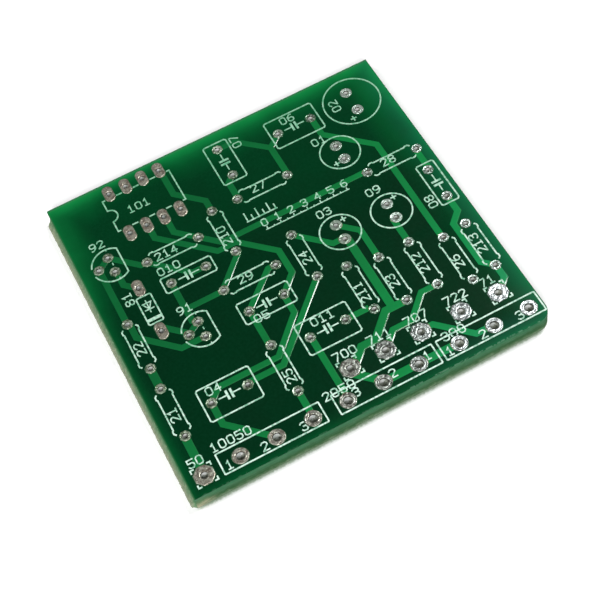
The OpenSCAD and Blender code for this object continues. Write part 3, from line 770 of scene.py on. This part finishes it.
for k, (node, (places, shape, w, hole)) in enumerate(LANDS.items()):
    piece("tinned_" + node, build_lands(places, shape, w, hole, k), [TIN_BROWN if shape == "long" else TIN_LARGE if w > 2 else TIN_MIDDLE if shape == "round" else TIN_SMALL] + BARRELS, [node])


# ---------------------------------------------------------------- laminate: the CAD body up to the score line, then a rough web
def build_laminate():
    bm = bmesh.new()
    bm.from_mesh(NODES["laminate"].data)
    cut = bmesh.ops.bisect_plane(bm, geom=bm.verts[:] + bm.edges[:] + bm.faces[:], dist=1e-8,
                                 plane_co=(OX * MM, 0, 0), plane_no=(-1, 0, 0), clear_outer=True)
    rim = [e for e in cut["geom_cut"] if isinstance(e, bmesh.types.BMEdge) and e.is_valid and e.is_boundary]
    if rim:
        bmesh.ops.holes_fill(bm, edges=rim, sides=0)
    return bm


piece("laminate_body", build_laminate(), [LAM_MAT], ["laminate"])


def build_web():
    """The scored slopes, then the torn fibres in the middle of the thickness."""
    bm = bmesh.new()
    random.seed(7)
    y1 = BD - 1.3
    w = LIP
    d = SCORE
    prof = [(0.02, ZT), (-0.14, ZT - 0.33 * d), (-0.27, ZT - 0.64 * d), (-0.38, ZT - 0.9 * d), (-0.44, ZT - d), (-w + 0.12, ZT - d - 0.05),
            (-w + 0.07, ZT - d - 0.2), (-w + 0.06, BT / 2 + 0.1), (-w + 0.06, BT / 2 - 0.1), (-w + 0.07, ZB + d + 0.2), (-w + 0.12, ZB + d + 0.05), (-0.44, ZB + d), (-0.38, ZB + 0.9 * d),
            (-0.27, ZB + 0.64 * d), (-0.14, ZB + 0.33 * d), (0.02, ZB)]
    n = 900
    rows = []
    for i in range(n + 1):
        y = y1 * i / n
        ragged = noise.noise(Vector((y * 1.1, 3.1, 0))) * 0.4 + noise.noise(Vector((y * 4.0, 9.2, 0))) * 0.35 + noise.noise(Vector((y * 11.0, 1.2, 0))) * 0.35
        frayed = noise.noise(Vector((y * 24.0, 6.4, 0)))
        row = []
        for j, (x, z) in enumerate(prof):
            deep = max(0.0, (-x - 0.3) / 0.34)
            q = Vector((y * 7.0, z * 5.0, 2.0))
            dx = deep * (0.16 * ragged + 0.06 * frayed + 0.09 * noise.noise(q) + 0.08 * noise.noise(q * 3.0))
            fall = 0.01 * noise.noise(Vector((y * 3.0, z * 9.0, 5.0)))
            end = min(1.0, (y1 - y) / 0.5) ** 0.5
            xx = max(-LIP + 0.002, min(0.02, x * (0.35 + 0.65 * end) + dx * end + (fall if x < 0 else 0)))
            row.append(bm.verts.new(P(xx, y, z)))
        rows.append(row)
    m = len(prof)
    for a, b in zip(rows, rows[1:]):
        for j in range(m - 1):
            f = bm.faces.new((a[j], a[j + 1], b[j + 1], b[j]))
            f.smooth = True
    bm.faces.new(rows[0])
    bm.faces.new(rows[-1][::-1])
    bmesh.ops.recalc_face_normals(bm, faces=bm.faces)
    return bm


piece("laminate_snapped_edge", build_web(), [WEB_MAT])


# ---------------------------------------------------------------- CAD nodes that stay, with their materials
PRINT = ["resistor_marking", "capacitor_marking", "device_marking", "connector_marking", "printed_scale"]
for name, mat in [("top_copper", COPPER_MAT), ("underside_copper", COPPER_MAT), ("underside_mask", UNDER_MAT)] + [(q, INK_MAT) for q in PRINT]:
    if name in NODES:
        paint(NODES[name], mat)

# ---------------------------------------------------------------- floor, lights and world
bm = bmesh.new()
S = 3.0
for q in ((-S, -S), (S, -S), (S, S), (-S, S)):
    bm.verts.new((q[0], q[1], -0.00001))
bm.faces.new(bm.verts)
me = bpy.data.meshes.new("floor")
bm.to_mesh(me)
bm.free()
floor = bpy.data.objects.new("floor", me)
bpy.context.scene.collection.objects.link(floor)
fm = Mat("floor_white")
fx, fy, fz = fm.xyz()
paper = fm.mix(fm.noise(30.0), (0.93, 0.93, 0.93, 1), (0.95, 0.95, 0.95, 1))
# painted contact shadow: along the front the floor is painted with a thin ragged green-grey fringe
def beyond(value, edge, sign):
    return fm.math("MULTIPLY", fm.math("SUBTRACT", value, edge * MM), 1000.0 * sign)


across = fm.math("MULTIPLY", fm.span(beyond(fx, OX, 1), -0.5, 0.5), fm.span(beyond(fx, OX + BW, -1), 0.9, 2.4))
ragged = fm.math("MULTIPLY", fm.math("SUBTRACT", fm.noise(2600.0, 3.0, 0.7), 0.5), 0.5)
gap = fm.math("ADD", beyond(fy, OY, -1), ragged)
front = fm.math("MULTIPLY", fm.math("MULTIPLY", fm.span(gap, 0.5, 0.05), fm.span(gap, -2.0, -1.0)), across)
paper = fm.mix(front, paper, rgb(158, 178, 154))
fm.link(paper, fm.b.inputs["Base Color"])
# painted light: the floor beside the left edge glows faintly, lifting the board's shadow there
glow = fm.math("MULTIPLY", fm.span(fx, (OX + 1.5) * MM, (OX - 0.4) * MM), fm.span(fx, (OX - 30) * MM, (OX - 8) * MM))
glow = fm.math("MULTIPLY", glow, fm.math("MULTIPLY", fm.span(fy, (OY - 20) * MM, (OY - 2) * MM), fm.span(fy, (OY + BD + 20) * MM, (OY + BD + 2) * MM)))
glow = fm.mix(glow, (0, 0, 0, 1), (1, 1, 1, 1))
fm.link(glow, fm.b.inputs["Emission Color"])
fm.b.inputs["Emission Strength"].default_value = 0.22
fm.set(Roughness=0.95)
fm.b.inputs["Specular IOR Level"].default_value = 0.0
paint(floor, fm.m)


def area(name, loc, target, size, power, shape="DISK"):
    d = bpy.data.lights.new(name, "AREA")
    d.shape = shape
    if shape == "RECTANGLE":
        d.size, d.size_y = size
    else:
        d.size = size
    d.energy = power
    o = bpy.data.objects.new(name, d)
    bpy.context.scene.collection.objects.link(o)
    loc = Vector(loc)
    o.matrix_world = Matrix.Translation(loc) @ (Vector(target) - loc).to_track_quat("-Z", "Y").to_matrix().to_4x4()
    return o


world = bpy.data.worlds.new("world")
bpy.context.scene.world = world
world.use_nodes = True
bg = world.node_tree.nodes["Background"]
bg.inputs[0].default_value = (1, 1, 1, 1)
bg.inputs[1].default_value = 0.02

area("fill", (-0.25, -0.75, 0.75), (0, 0, 0), 0.55, 10.1)
area("key", (0.416, 0.176, 0.778), (0, 0, 0), 0.26, 5.0)
area("side", (-0.8, 0.1, 0.7), (0, 0, 0), 0.5, 2.5)

bpy.context.scene.view_settings.view_transform = "Standard"
